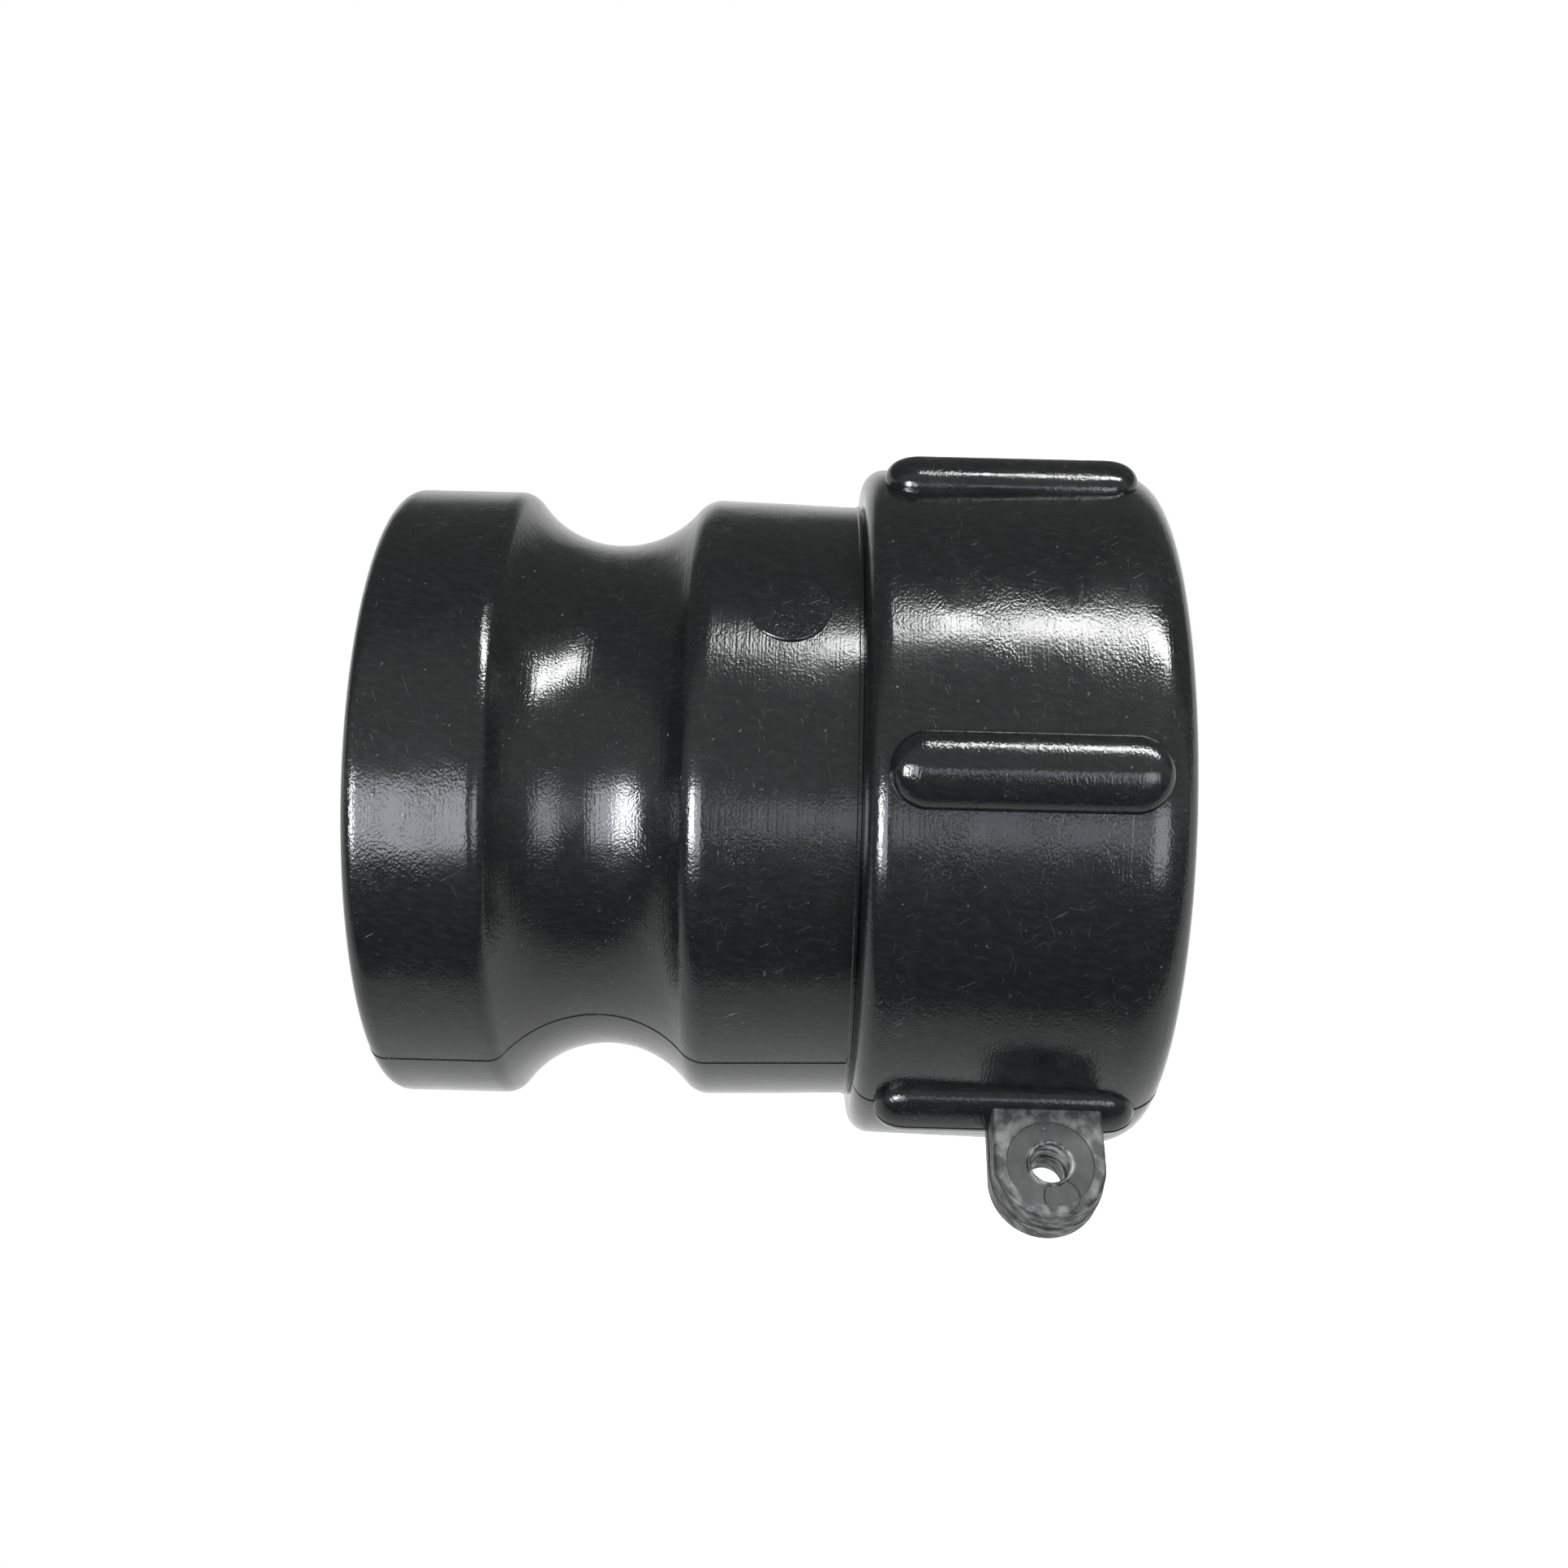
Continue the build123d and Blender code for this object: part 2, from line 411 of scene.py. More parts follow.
def add(tree, kind, inputs=None, **settings):
    """Adds a node with its settings and inputs. A Map Range takes its value, then from and to: 0, 1 to 2, 3 to 4."""
    node = tree.nodes.new("ShaderNode" + kind)
    for setting, value in settings.items():
        setattr(node, setting, value)
    feed(tree, node, inputs or {})
    return node


def unrolled(tree, wall_mm):
    """The wall laid flat, in millimetres: X along the turn, Y up the bore, Z out from it."""
    place = add(tree, "TexCoord").outputs["Object"]
    across, deep, height = add(tree, "SeparateXYZ", {0: place}).outputs
    turn = add(tree, "Math", {0: deep, 1: across}, operation="ARCTAN2")
    flat = add(tree, "CombineXYZ", {0: across, 1: deep})
    out = add(tree, "VectorMath", {0: flat}, operation="LENGTH").outputs["Value"]
    along_mm = add(tree, "Math", {0: turn, 1: wall_mm}, operation="MULTIPLY")
    up_mm = add(tree, "Math", {0: height, 1: 1 / MM}, operation="MULTIPLY")
    out_mm = add(tree, "Math", {0: out, 1: 1 / MM}, operation="MULTIPLY")
    return add(tree, "CombineXYZ", {0: along_mm, 1: up_mm, 2: out_mm})


def grain(tree, place, long_mm, wide_mm, detail=2.0, turn_deg=0.0, shift=0.0):
    """Noise with grains of this length and width, turned on the wall."""
    turn = {0: place, "Location": (shift, shift, shift), "Rotation": (0, 0, radians(turn_deg))}
    sizes = (1 / long_mm, 1 / wide_mm, 1 / wide_mm)
    sized = add(tree, "VectorMath", {0: add(tree, "Mapping", turn), 1: sizes}, operation="MULTIPLY")
    return add(tree, "TexNoise", {"Vector": sized, "Scale": 1.0, "Detail": detail})


# Angle, length and width in millimetres, and rarity, in each direction
SCRATCHES = ((62.0, 2.8, 0.09, 0.81), (-24.0, 1.8, 0.07, 0.82), (8.0, 2.2, 0.08, 0.82), (96.0, 1.5, 0.07, 0.83))
SCRATCH_APART = 13.0
SCRATCH_FADE = 0.04


def scratches(tree, place):
    """Short straight marks in several directions."""
    every = None
    for number, (turn_deg, long_mm, wide_mm, rarity) in enumerate(SCRATCHES):
        lines = grain(tree, place, long_mm, wide_mm, 0.0, turn_deg, SCRATCH_APART * number)
        marks = add(tree, "MapRange", {0: lines, 1: rarity, 2: rarity + SCRATCH_FADE})
        every = add(tree, "Math", {0: every, 1: marks}, operation="MAXIMUM") if every else marks
    return every


# Radii at which a wall is laid flat
WALL_MM = 31.0
GASKET_MM = 26.0
# Height of the slow waves, and of the turning marks and scratches beside the pits
WAVE_UM = 32.0
TURNING_SHARE = 0.5
SCRATCH_SHARE = -0.8
POLYPROPYLENE_IOR = 1.49
RUBBER_IOR = 1.52


def moulded_polypropylene(tree, body, scuff_and_sheen, *, gloss, pits_um, worn, rubbed_and_sheen, dulling):
    """Black polypropylene out of a steel mould: satin reflections whose edges a fine pitted grain breaks up, faint
    turning marks round the wall, a slow waviness from shrinkage, and short pale scratches and rubbed patches from
    handling. The grain is drawn at a quarter of a millimetre, coarser than the real one, so that it shows.

    gloss is the roughness, worn how pale the scratches are, the rubbing-and-sheen argument how pale the pale patches
    are:
    real rubbing on the body, and on the lug also a painted highlight on the eye's lip and a painted reflection on its
    face. dulling is what both add to the roughness: more on a polished wall, less on a dull one, which rubbing
    polishes.
    """
    place = unrolled(tree, WALL_MM)
    pits = grain(tree, place, 0.27, 0.23, 1.5)
    turning = grain(tree, place, 10.0, 0.24, 1.0, shift=3.0)
    depth = add(tree, "MapRange", {0: grain(tree, place, 5.0, 5.0, shift=31.0), 1: 0.4, 2: 0.6, 3: 0.5, 4: 1.35})
    wave = grain(tree, place, 7.0, 6.0, 1.0, shift=23.0)
    cloud = grain(tree, place, 8.0, 5.0, 3.0, shift=11.0)
    specks = add(tree, "MapRange", {0: grain(tree, place, 0.5, 0.4, 0.0, 30.0, 7.0), 1: 0.84, 2: 0.88})
    patch = add(tree, "MapRange", {0: cloud, 1: 0.42, 2: 0.64, 3: 0.1})
    marks = add(tree, "Math", {0: scratches(tree, place), 1: patch}, operation="MULTIPLY")
    marks = add(tree, "Math", {0: marks, 1: specks}, operation="MAXIMUM")
    # Pale patches: rubbing on the body; on the lug also a painted highlight on the eye's lip and a painted reflection
    # on its face
    rubs_and_sheen = add(tree, "MapRange", {0: grain(tree, place, 0.4, 1.3, 4.0, 12.0, 19.0), 1: 0.42, 2: 0.66})
    rubs_and_sheen = add(tree, "Math", {0: rubs_and_sheen, 1: rubbed_and_sheen}, operation="MULTIPLY")
    pale = add(tree, "Math", {0: marks, 1: worn}, operation="MULTIPLY")
    pale = add(tree, "Math", {0: pale, 1: rubs_and_sheen}, operation="MAXIMUM")
    tone = add(tree, "Mix", {0: pale, 6: (*body, 1), 7: (*scuff_and_sheen, 1)}, data_type="RGBA")
    rough = add(tree, "MapRange", {0: cloud, 1: 0.3, 2: 0.7, 3: gloss - 0.03, 4: gloss + 0.05})
    rough = add(tree, "Math", {0: pale, 1: dulling, 2: rough}, operation="MULTIPLY_ADD")
    relief = add(tree, "Math", {0: pits, 1: depth}, operation="MULTIPLY")
    for pattern, share in ((turning, TURNING_SHARE), (wave, WAVE_UM / pits_um), (marks, SCRATCH_SHARE)):
        relief = add(tree, "Math", {0: pattern, 1: share, 2: relief}, operation="MULTIPLY_ADD")
    return {
        "Base Color": tone.outputs[2],
        "Roughness": rough,
        "Normal": add(tree, "Bump", {"Height": relief, "Distance": pits_um * MM / 1000}),
        "IOR": POLYPROPYLENE_IOR,
    }


# How pale the lug is painted on its lip, on the disc about the lip, and outside that disc: painted highlight, faint
# wear, then rubbing with painted reflection
LIP_HIGHLIGHT, DISC_WEAR, FACE_WEAR_AND_SHEEN = 1.3, 0.06, 0.4


def lug_wear_and_sheen(tree):
    """How pale the lug is painted: a painted highlight on the lip of the eye, and outside the disc about it real
    rubbing together with a painted reflection.
    """
    place = add(tree, "TexCoord").outputs["Object"]
    across = add(tree, "VectorMath", {0: place, 1: tuple(EYE)}, operation="SUBTRACT")
    across = add(tree, "VectorMath", {0: across, 1: (1, 0, 1)}, operation="MULTIPLY")
    out = add(tree, "VectorMath", {0: across}, operation="LENGTH").outputs["Value"]
    sizes = bpy.context.scene.adapter_lug
    fade = 0.1 * MM
    # Painted highlight on the lip of the eye, faint wear on the disc, then rubbing and painted reflection outside the
    # disc
    lip = add(tree, "MapRange", {0: out, 1: sizes.lip_r, 2: sizes.lip_r + fade, 3: LIP_HIGHLIGHT, 4: DISC_WEAR})
    outside = add(tree, "MapRange", {0: out, 1: sizes.disc_r, 2: sizes.disc_r + fade, 3: 0.0, 4: FACE_WEAR_AND_SHEEN})
    return add(tree, "Math", {0: lip, 1: outside}, operation="ADD")


def pressed_rubber(tree, colours):
    """Sheet EPDM cut to a ring: dull and black, with a fine pressed grain and a little pale bloom."""
    place = unrolled(tree, GASKET_MM)
    bloom = add(tree, "MapRange", {0: grain(tree, place, 6.0, 4.0, 4.0), 1: 0.48, 2: 0.75})
    tone = add(tree, "Mix", {0: bloom, 6: (*colours.gasket, 1), 7: (*colours.bloom, 1)}, data_type="RGBA")
    pressed = grain(tree, place, 0.35, 0.35, shift=7.0)
    return {
        "Base Color": tone.outputs[2],
        "Roughness": 0.72,
        "Normal": add(tree, "Bump", {"Height": pressed, "Distance": 0.02 * MM}),
        "IOR": RUBBER_IOR,
    }


GLOSSY = "moulded_polypropylene_polished"
TEXTURED = "moulded_polypropylene_textured"
RUBBER = "sheet_rubber_epdm"


def finish_named(name):
    """The material of that name, made when it is first asked for."""
    if name in bpy.data.materials:
        return bpy.data.materials[name]
    material = bpy.data.materials.new(name)
    material.use_nodes = True
    tree = material.node_tree
    colours = bpy.context.scene.adapter_finish
    if name == RUBBER:
        inputs = pressed_rubber(tree, colours)
    elif name == TEXTURED:
        # The lug's pale patches are partly painted: a painted highlight on its lip and a painted reflection on its
        # face
        inputs = moulded_polypropylene(
            tree, colours.lug, colours.scuff_and_sheen, gloss=0.56, pits_um=20.0, worn=0.5, rubbed_and_sheen=lug_wear_and_sheen(tree), dulling=-0.25
        )
    else:
        inputs = moulded_polypropylene(
            tree, colours.body, colours.scuff_and_sheen, gloss=0.14, pits_um=27.0, worn=0.16, rubbed_and_sheen=0.015, dulling=0.3
        )
    feed(tree, tree.nodes["Principled BSDF"], inputs)
    return material


# The pieces


class ADAPTER_OT_spigot(bpy.types.Operator):
    """Model the spigot: nose, cam groove, barrel and bore"""

    bl_idname = "adapter.spigot"
    bl_label = "Spigot"
    bl_options = {"REGISTER", "UNDO"}

    def execute(self, context):
        sizes = context.scene.adapter_spigot
        edge_r = sizes.bore_edge_r
        bore = [*arc((BORE_R + edge_r, NOSE_Z - edge_r), edge_r, 90, 180), (BORE_R, SEAM_Z)]
        piece = turned("moulded_spigot", [*outer_stations(sizes), *bore])
        dress(piece, finish_named(GLOSSY), ("spigot_nose", "cam_groove_neck", "spigot_barrel"))
        return {"FINISHED"}


class ADAPTER_OT_collar(bpy.types.Operator):
    """Model the collar and its socket"""

    bl_idname = "adapter.collar"
    bl_label = "Collar"
    bl_options = {"REGISTER", "UNDO"}

    def execute(self, context):
        sizes = context.scene.adapter_collar
        inside = [
            (BORE_R, SEAM_Z),
            (BORE_R, SOCKET_Z),
            (sizes.socket_r, SOCKET_Z),
            (sizes.socket_r, sizes.mouth_chamfer),
            (sizes.socket_r + sizes.mouth_chamfer, 0),
        ]
        piece = turned("moulded_collar", [*collar_stations(sizes), *inside])
        dress(piece, finish_named(GLOSSY), ("collar_shoulder", "collar_skirt"))
        return {"FINISHED"}


class ADAPTER_OT_gasket(bpy.types.Operator):
    """Model the flat gasket in the socket"""

    bl_idname = "adapter.gasket"
    bl_label = "Gasket"
    bl_options = {"REGISTER", "UNDO"}

    def execute(self, context):
        sizes = context.scene.adapter_gasket
        edge_r = sizes.edge_r
        corners = (
            (GASKET_R - edge_r, GASKET_LOW + edge_r, -90),
            (GASKET_R - edge_r, GASKET_HIGH - edge_r, 0),
            (sizes.inner_r + edge_r, GASKET_HIGH - edge_r, 90),
            (sizes.inner_r + edge_r, GASKET_LOW + edge_r, 180),
        )
        section = [ring for *middle, start in corners for ring in arc(middle, edge_r, start, start + 90, 4)]
        dress(turned("flat_sealing_ring", section), finish_named(RUBBER), ("flat_gasket",))
        return {"FINISHED"}


class ADAPTER_OT_thread(bpy.types.Operator):
    """Give the socket's thread the finish of the moulding"""

    bl_idname = "adapter.thread"
    bl_label = "Thread"
    bl_options = {"REGISTER", "UNDO"}

    def execute(self, context):
        mesh = frame["nodes"]["buttress_thread"].data
        mesh.materials.clear()
        mesh.materials.append(finish_named(GLOSSY))
        return {"FINISHED"}


RIB_COUNT = 6
LUG_RIB_DEG = 180
DOME_STEP_DEG = 6


def rib_rings(sizes, lean):
    """A rib's rings from foot to crest: distance from the bore, half width, sideways shift and end radius."""
    even = (sizes.steep + sizes.drafted) / 2
    near, far = {0: (even, even), 1: (sizes.drafted, sizes.steep), -1: (sizes.steep, sizes.drafted)}[lean]
    rings = []
    for turn_deg in range(0, 90, DOME_STEP_DEG):
        fullness = cos(radians(turn_deg))
        low, high = (sizes.width / 2 * fullness ** power for power in (near, far))
        reach = sizes.foot_r + (RIB_CREST_R - sizes.foot_r) * sin(radians(turn_deg))
        rings.append((reach, (low + high) / 2, (high - low) / 2, sizes.width / 2 * fullness ** sizes.end))
    return rings


def model_rib(name, sizes, lean):
    """A domed bar standing out along +X: a round button, extruded ring by ring, then pulled to its length."""
    middle_z = (RIB_LOW + RIB_HIGH) / 2
    half = end = sizes.width / 2
    reach, shift = sizes.foot_r - sizes.sink, 0.0
    where = {"location": (reach, 0, middle_z), "rotation": (0, pi / 2, 0)}
    piece = begin(name, bpy.ops.mesh.primitive_circle_add, vertices=64, radius=half, fill_type="NGON", **where)
    for next_reach, next_half, next_shift, next_end in rib_rings(sizes, lean):
        extrude((next_reach - reach, next_shift - shift, 0))
        resize((1, next_half / half, next_end / end), (next_reach, next_shift, middle_z))
        reach, half, shift, end = next_reach, next_half, next_shift, next_end
    # The last ring closes to a line along the crest
    extrude((RIB_CREST_R - reach, 0, 0))
    resize((1, 0, 0.5), (RIB_CREST_R, shift, middle_z))
    for side in (-1, 1):
        select(piece, lambda vertex: side * (vertex.co.z - middle_z) > HAIR)
        move((0, 0, side * (RIB_HIGH - RIB_LOW - sizes.width) / 2))
    close_up()
    return piece


class ADAPTER_OT_ribs(bpy.types.Operator):
    """Model the grip ribs: one of each kind, copied round the collar"""

    bl_idname = "adapter.ribs"
    bl_label = "Grip ribs"
    bl_options = {"REGISTER", "UNDO"}

    def execute(self, context):
        kinds = {}
        turns = range(LUG_RIB_DEG, LUG_RIB_DEG + 360, 360 // RIB_COUNT)
        for number, angle in enumerate(turns, start=1):
            # The flank nearer the parting plane is the drafted one, so a rib leans one way, the other or neither
            lean = round(sin(radians(2 * angle)))
            if lean not in kinds:
                kinds[lean] = model_rib("rib_kind", context.scene.adapter_rib, lean)
                bpy.ops.object.mode_set(mode="OBJECT")
            bpy.ops.object.select_all(action="DESELECT")
            kinds[lean].select_set(True)
            bpy.ops.object.duplicate()
            rib = context.selected_objects[0]
            context.view_layer.objects.active = rib
            rib.name = rib.data.name = f"moulded_rib_{number}"
            rib.rotation_euler.z = radians(angle)
            bpy.ops.object.transform_apply(rotation=True)
            dress(rib, finish_named(GLOSSY), (f"grip_rib_{number}",))
        for kind in kinds.values():
            bpy.data.objects.remove(kind)
        return {"FINISHED"}


def lug_side(sizes, side):
    """Rings of (radius, depth) over one face of the lug, from the eye's middle to the disc and round the rim."""
    grown = sizes.mismatch if side > 0 else 0.0
    face, lip = side * LUG_HALF, side * (LUG_HALF + sizes.lip_height)
    sunk = side * (LUG_HALF - sizes.disc_depth)
    eye_r = EYE_R - sizes.eye_draw - grown
    middle_r, bead_r = (eye_r + sizes.lip_r) / 2, (sizes.lip_r - eye_r) / 2
    bead = [(middle_r - bead_r * cos(radians(turn_deg)), sunk + (lip - sunk) * sin(radians(turn_deg)))
            for turn_deg in range(0, 181, 18)]
    below, step = 0.3 * MM, 0.04 * MM
    about_eye = [
        (eye_r, 0),
        (eye_r, side * (LUG_HALF - below)),
        *bead,
        (sizes.disc_r - step, sunk),
        (sizes.disc_r, face),
    ]
    rim_r = sizes.rim_r
    flat_r = LUG_TIP_R + grown - sizes.draft - rim_r
    rim = [(flat_r + rim_r * sin(radians(turn_deg)), face - side * rim_r * (1 - cos(radians(turn_deg))))
           for turn_deg in range(0, 91, 15)]
    return about_eye, [*rim, (LUG_TIP_R + grown, 0)]


def draw_rings(rings, start):
    """Extrudes on through rings about the eye, from a ring of (radius, depth)."""
    radius, depth = start
    for next_radius, next_depth in rings:
        extrude((0, next_depth - depth, 0))
        growth = next_radius / radius
        resize((growth, 1, growth), (EYE.x, next_depth, EYE.z))
        radius, depth = next_radius, next_depth
    return radius, depth


def act_on_half(piece, action):
    """Acts on the half of the selected ring that is nearer the bore, and leaves the whole ring selected."""
    mesh = bmesh.from_edit_mesh(piece.data)
    mesh.verts.index_update()
    ring = {vertex.index for vertex in mesh.verts if vertex.select}
    select(piece, lambda vertex: vertex.index in ring and vertex.co.x > EYE.x + HAIR)
    action()
    select(piece, lambda vertex: vertex.index in ring)


class ADAPTER_OT_lug(bpy.types.Operator):
    """Model the tether lug: two mould halves round one eye"""

    bl_idname = "adapter.lug"
    bl_label = "Tether lug"
    bl_options = {"REGISTER", "UNDO"}

    def execute(self, context):
        sizes = context.scene.adapter_lug
        stem = -sizes.root_reach - EYE.x
        root = (-sizes.root_reach, 0, EYE.z)
        flatness = 4

        def pull_out():
            """Draws the round end out to the root, and flattens it there."""
            move((stem, 0, 0))
            resize((1 / flatness, 1, 1), root)

        def push_back():
            """Undoes pull_out, on a ring that has grown about the eye since."""
            grown = last[0] / near_rim[0][0]
            resize((1 / grown, 1, 1), EYE)
            resize((flatness, 1, 1), root)
            move((-stem, 0, 0))
            resize((grown, 1, 1), EYE)

        near_eye, near_rim = lug_side(sizes, -1)
        far_eye, far_rim = lug_side(sizes, 1)
        where = {"location": tuple(EYE), "rotation": (pi / 2, 0, 0)}
        piece = begin(
            "moulded_tether_lug", bpy.ops.mesh.primitive_circle_add, vertices=96, radius=near_eye[0][0], **where
        )
        last = draw_rings([*near_eye[1:], near_rim[0]], near_eye[0])
        act_on_half(piece, pull_out)
        last = draw_rings([*near_rim[1:], *reversed(far_rim)], last)
        act_on_half(piece, push_back)
        draw_rings([*reversed(far_eye), near_eye[0]], last)
        close_up()
        dress(piece, finish_named(TEXTURED), ("tether_lug",))
        return {"FINISHED"}


def join_to(name, pieces):
    """Joins pieces into the first one."""
    bpy.ops.object.select_all(action="DESELECT")
    for piece in pieces:
        piece.select_set(True)
    bpy.context.view_layer.objects.active = pieces[0]
    bpy.ops.object.join()
    pieces[0].name = pieces[0].data.name = name
    return pieces[0]


def rib_crest_line(sizes, side):
    """Where the mould parts over the rib that lies in the parting plane, as places from end to end."""
    middle_z = (RIB_LOW + RIB_HIGH) / 2
    pull = (RIB_HIGH - RIB_LOW - sizes.width) / 2
    rise = [(reach, pull + end) for reach, _, _, end in rib_rings(sizes, 0)]
    path = [(reach, middle_z - half_length) for reach, half_length in rise]
    path += [(reach, middle_z + half_length) for reach, half_length in reversed(rise)]
    return [(side * reach, 0, height) for reach, height in path]


class ADAPTER_OT_marks(bpy.types.Operator):
    """Model the fine marks of the mould: parting lines, a round insert's mark and a pin's ring"""

    bl_idname = "adapter.marks"
    bl_label = "Mould marks"
    bl_options = {"REGISTER", "UNDO"}

    def execute(self, context):
        scene = context.scene
        sizes, spigot, lug = scene.adapter_marks, scene.adapter_spigot, scene.adapter_lug
        past_ring = 4
        spigot_path = supported(outer_stations(spigot)[past_ring:-1])
        collar_path = supported(collar_stations(scene.adapter_collar)[1:-1])
        lines = []
        for side in (-1, 1):
            for path in (spigot_path, collar_path):
                places = [(side * radius, 0, height) for radius, height in path]
                lines.append(thread_of("line", places, sizes.flash_r))
                bpy.ops.object.mode_set(mode="OBJECT")
            lines.append(thread_of("line", rib_crest_line(scene.adapter_rib, side), sizes.flash_r))
            bpy.ops.object.mode_set(mode="OBJECT")
        dress(join_to("mould_parting_line", lines), finish_named(GLOSSY))

        wall_r = barrel_r(spigot, sizes.insert_z)
        lean = atan2(spigot.barrel_front_r - spigot.barrel_rear_r, GROOVE_Z - SEAM_Z)
        edge, buried = 0.07 * MM, 0.5 * MM
        where = {"location": (0, -(wall_r - buried), sizes.insert_z), "rotation": (pi / 2 + lean, 0, 0)}
        disc = begin(
            "mould_insert_mark", bpy.ops.mesh.primitive_circle_add, vertices=96, radius=sizes.insert_r,
            fill_type="NGON", **where
        )
        extrude((0, -(buried + sizes.insert_step - edge), 0))
        extrude((0, -edge, 0))
        smaller = (sizes.insert_r - edge) / sizes.insert_r
        resize((smaller, 1, smaller), (0, -wall_r, sizes.insert_z))
        close_up()
        dress(disc, finish_named(GLOSSY))

        # The ring reaches over the step between the lug's face and the disc about its eye
        middle_y = -LUG_HALF + lug.disc_depth / 2
        tallness = 1.2
        pin = begin(
            "mould_pin_ring", bpy.ops.mesh.primitive_torus_add,
            location=(EYE.x - lug.pin_mark_out, middle_y, EYE.z - lug.pin_mark_down), rotation=(pi / 2, 0, 0),
            major_radius=lug.pin_mark_r, minor_radius=sizes.pin_line / 2, major_segments=96, minor_segments=8,
        )
        resize((1, tallness, 1), (0, middle_y, 0))
        select(pin, lambda vertex: hypot(vertex.co.x - EYE.x, vertex.co.z - EYE.z) < lug.lip_r)
        bpy.ops.mesh.delete(type="VERT")
        bpy.ops.mesh.select_all(action="SELECT")
        bpy.ops.mesh.fill_holes(sides=0)
        close_up()
        dress(pin, finish_named(TEXTURED))
        return {"FINISHED"}


# The stage


# Angle round the bore of the side that faces the camera
FACING = 235
# How bright the room is in reflections, by angle round the bore
ROOM = (
    (FACING - 100, 1.0),
    (FACING - 72.6, 0.57),
    (FACING - 71.4, 0.07),
    (FACING - 54.9, 0.09),
    (FACING - 30, 0.18),
    (FACING - 12, 0.45),
    (FACING + 10, 0.55),
    (FACING + 45, 0.5),
    (FACING + 65, 0.17),
    (FACING + 136, 0.15),
    (FACING + 150, 1.0),
)
# Each light's name, angle round the bore, distance, height, width and length in metres; then which of the stage's two
# radiances it takes, its share of it, and its tint
LIGHTS = (
    ("strip_light", 288.5, 0.30, -0.13, 0.055, 0.18, "strip", 1.7, "#ffffff"),
    ("strip_light_end", 291.5, 0.30, -0.005, 0.045, 0.07, "strip", 1.3, "#ffffff"),
    ("window_light", 226, 0.35, 0.16, 0.15, 0.13, "window", 1.0, "#f4f5ff"),
    ("far_window_light", 226, 0.35, 0.35, 0.15, 0.22, "window", 4.0, "#fbfcff"),
    ("low_light", 228, 0.35, -0.01, 0.07, 0.09, "window", 0.3, "#eef0ff"),
    ("far_light", 225, 0.35, -0.17, 0.13, 0.18, "window", 0.7, "#f6f8ff"),
)
SENSOR_MM = 36
NEAREST = 0.01
FLOOR_ROUGHNESS = 0.9
FLOOR_GLOW = 0.85
FLOOR_SIZE = 8


def polar(angle_deg, distance, height=0.0):
    """A place at an angle round the bore, a distance from it and a height."""
    return Vector((distance * cos(radians(angle_deg)), distance * sin(radians(angle_deg)), height))


def put_camera(stage):
    turn, rise = stage.azimuth, stage.elevation
    back = Vector((sin(turn) * cos(rise), -cos(turn) * cos(rise), sin(rise)))
    facing = (-back).to_track_quat("-Z", "Y") @ Quaternion((0, 0, 1), stage.roll)
    bpy.ops.object.camera_add()
    camera = bpy.context.object
    camera.name = "camera"
    camera.rotation_mode = "QUATERNION"
    camera.rotation_quaternion = facing
    camera.location = (
        Vector((0, 0, stage.aim_height)) + back * stage.distance + facing @ Vector((0, stage.aim_shift, 0))
    )
    camera.data.lens = stage.lens
    camera.data.sensor_width = SENSOR_MM
    camera.data.clip_start = NEAREST
    bpy.context.scene.camera = camera


def put_soft_box(name, angle_deg, distance, height, width, tall, radiance, tint):
    """A rectangular light that faces the bore, given by how bright it looks from there."""
    bpy.ops.object.light_add(type="AREA", location=polar(angle_deg, distance, height))
    box = bpy.context.object
    box.name = name
    box.rotation_mode = "QUATERNION"
    box.rotation_quaternion = polar(angle_deg, 1).to_track_quat("Z", "Y")
    box.data.shape = "RECTANGLE"
    box.data.size, box.data.size_y = width, tall
    box.data.energy = radiance * pi * width * tall
    box.data.color = linear(tint)
    box.visible_camera = False


def surround():
    """White to the eye; in reflections, a room whose brightness changes round the bore."""
    world = bpy.context.scene.world or bpy.data.worlds.new("room")
    bpy.context.scene.world = world
    world.use_nodes = True
    tree = world.node_tree
    tree.nodes.clear()
    across, deep, _ = add(tree, "SeparateXYZ", {0: add(tree, "TexCoord").outputs["Generated"]}).outputs
    turn = add(tree, "Math", {0: deep, 1: across}, operation="ARCTAN2")
    share = add(tree, "MapRange", {0: turn, 1: -pi, 2: pi})
    ramp = add(tree, "ValToRGB", {0: share})
    stops = sorted(((angle % 360 + 180) % 360 / 360, level) for angle, level in ROOM)
    # A new ramp has two stops already, and adding one anywhere makes room for the rest
    for _ in stops[2:]:
        ramp.color_ramp.elements.new(0.5)
    for stop, (share, _) in zip(ramp.color_ramp.elements, stops):
        stop.position = share
    for stop, (_, level) in zip(ramp.color_ramp.elements, stops):
        stop.color = (level, level, level, 1)
    seen = add(tree, "LightPath").outputs["Is Camera Ray"]
    mix = add(tree, "Mix", {0: seen, 6: ramp, 7: (1, 1, 1, 1)}, data_type="RGBA")
    add(tree, "OutputWorld", {0: add(tree, "Background", {0: mix.outputs[2]})})


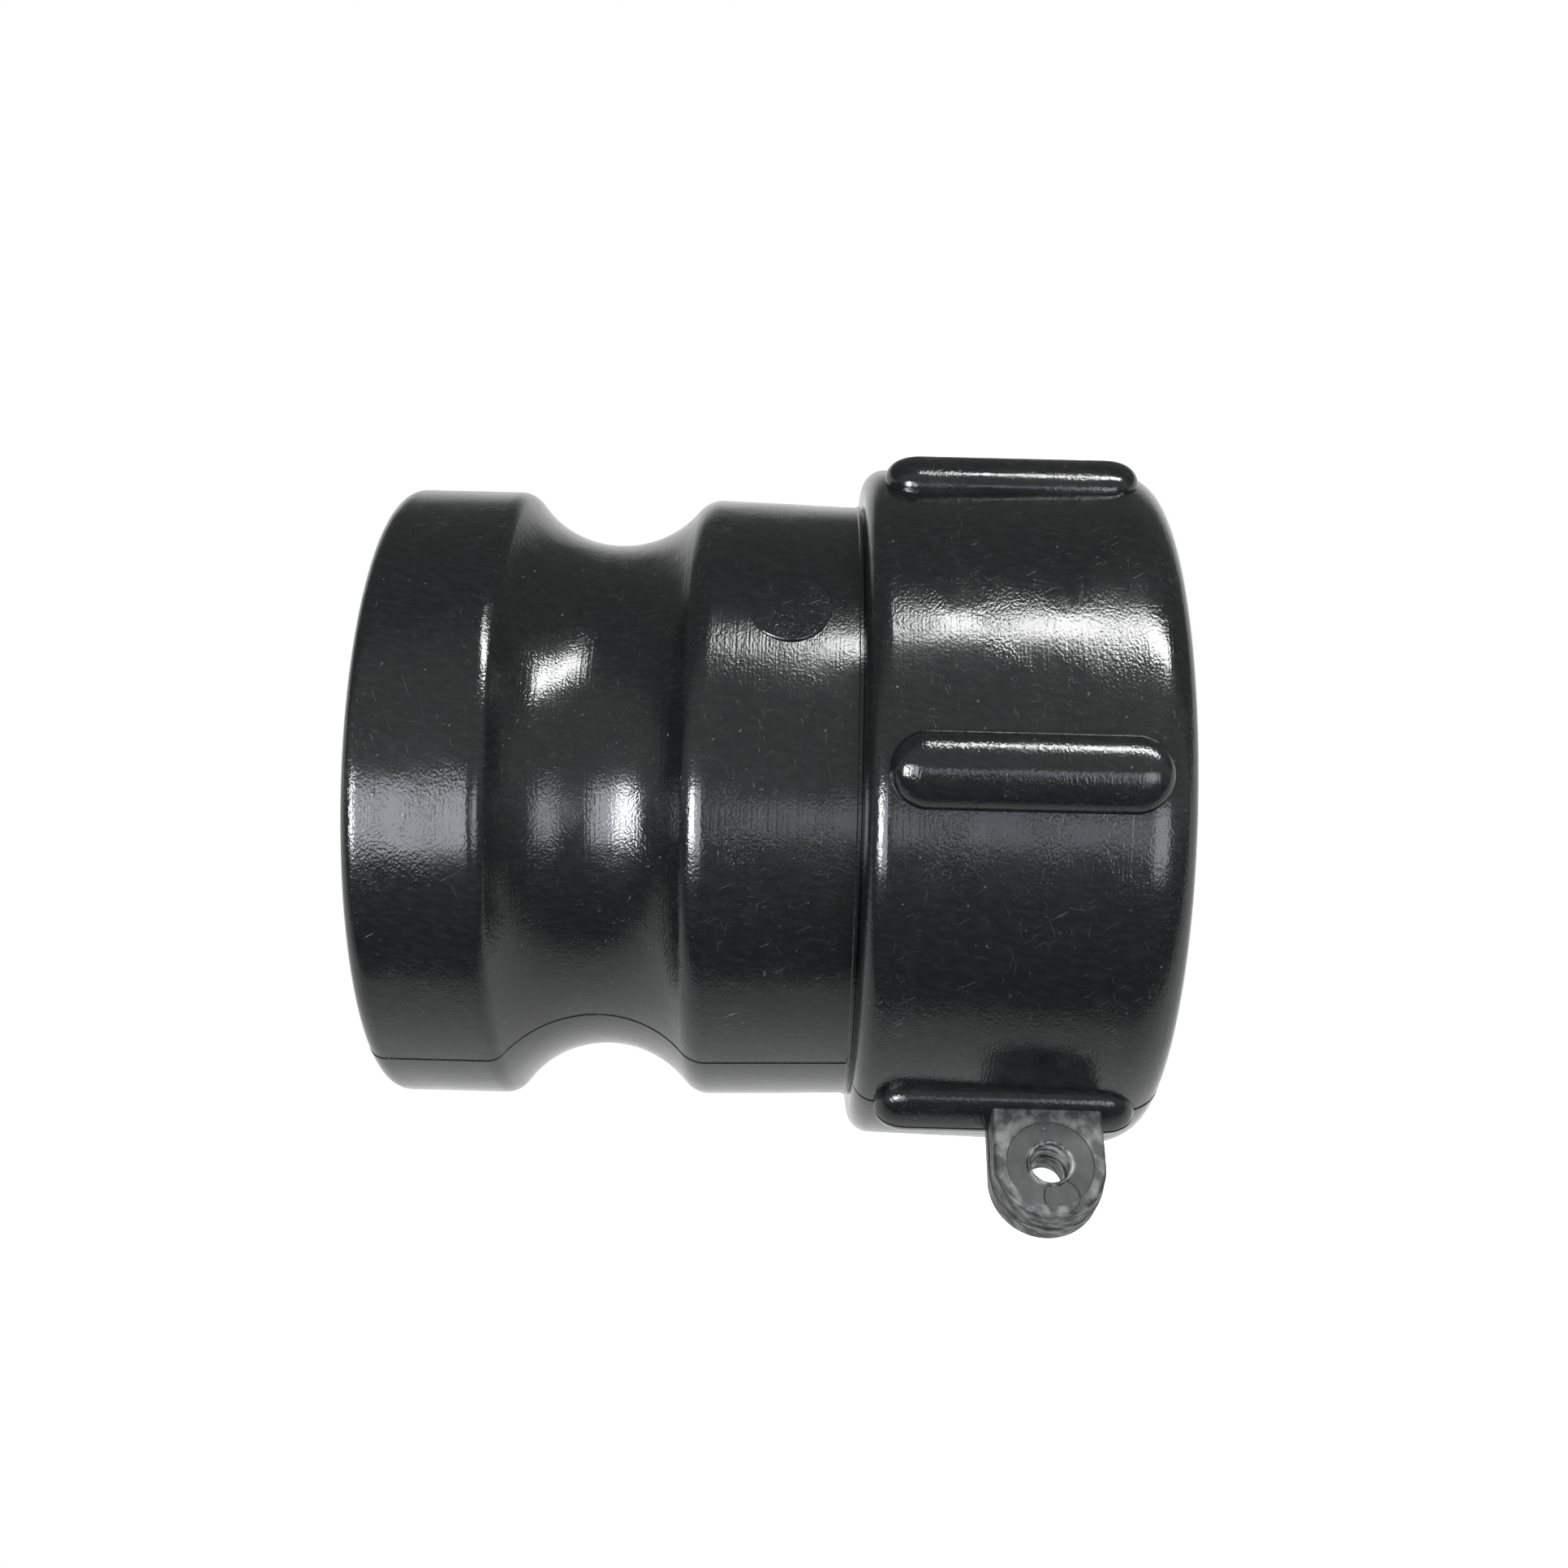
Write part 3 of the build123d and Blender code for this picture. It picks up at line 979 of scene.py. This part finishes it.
class ADAPTER_OT_stage(bpy.types.Operator):
    """Set up the camera, the lights and the pale floor"""

    bl_idname = "adapter.stage"
    bl_label = "Stage"
    bl_options = {"REGISTER", "UNDO"}

    def execute(self, context):
        stage = context.scene.adapter_stage
        put_camera(stage)
        surround()
        for *box, source, share, tint in LIGHTS:
            put_soft_box(*box, share * getattr(stage, source), tint)
        bpy.ops.object.select_all(action="DESELECT")
        bpy.ops.mesh.primitive_plane_add(size=FLOOR_SIZE)
        floor = context.object
        floor.name = floor.data.name = "floor"
        material = bpy.data.materials.new("matt_white_floor")
        material.use_nodes = True
        paint = material.node_tree.nodes["Principled BSDF"].inputs
        paint["Base Color"].default_value = (*stage.floor_colour, 1)
        paint["Roughness"].default_value = FLOOR_ROUGHNESS
        paint["Emission Color"].default_value = (1, 1, 1, 1)
        paint["Emission Strength"].default_value = FLOOR_GLOW
        floor.data.materials.append(material)
        floor.visible_glossy = floor.visible_shadow = False
        context.scene.view_settings.view_transform = "Standard"
        return {"FINISHED"}


PIECES = (
    ADAPTER_OT_spigot,
    ADAPTER_OT_collar,
    ADAPTER_OT_gasket,
    ADAPTER_OT_thread,
    ADAPTER_OT_ribs,
    ADAPTER_OT_lug,
    ADAPTER_OT_marks,
    ADAPTER_OT_stage,
)


class ADAPTER_PT_panel(bpy.types.Panel):
    """Lists the pieces and their sizes"""

    bl_idname = "ADAPTER_PT_panel"
    bl_label = "Camlock adapter"
    bl_space_type = "VIEW_3D"
    bl_region_type = "UI"
    bl_category = "Adapter"

    def draw(self, context):
        for piece in PIECES:
            self.layout.operator(piece.bl_idname)
        for name, group in GROUPS.items():
            box = self.layout.box()
            box.label(text=group.__doc__)
            for size in group.__annotations__:
                box.prop(getattr(context.scene, name), size)


CLASSES = (*GROUPS.values(), *PIECES, ADAPTER_PT_panel)


def register():
    for kind in CLASSES:
        bpy.utils.register_class(kind)
    for name, group in GROUPS.items():
        setattr(bpy.types.Scene, name, PointerProperty(type=group))


def unregister():
    for name in GROUPS:
        delattr(bpy.types.Scene, name)
    for kind in reversed(CLASSES):
        bpy.utils.unregister_class(kind)


def main():
    register()
    for piece in PIECES:
        category, action = piece.bl_idname.split(".")
        getattr(getattr(bpy.ops, category), action)()


if __name__ == "__main__":
    main()
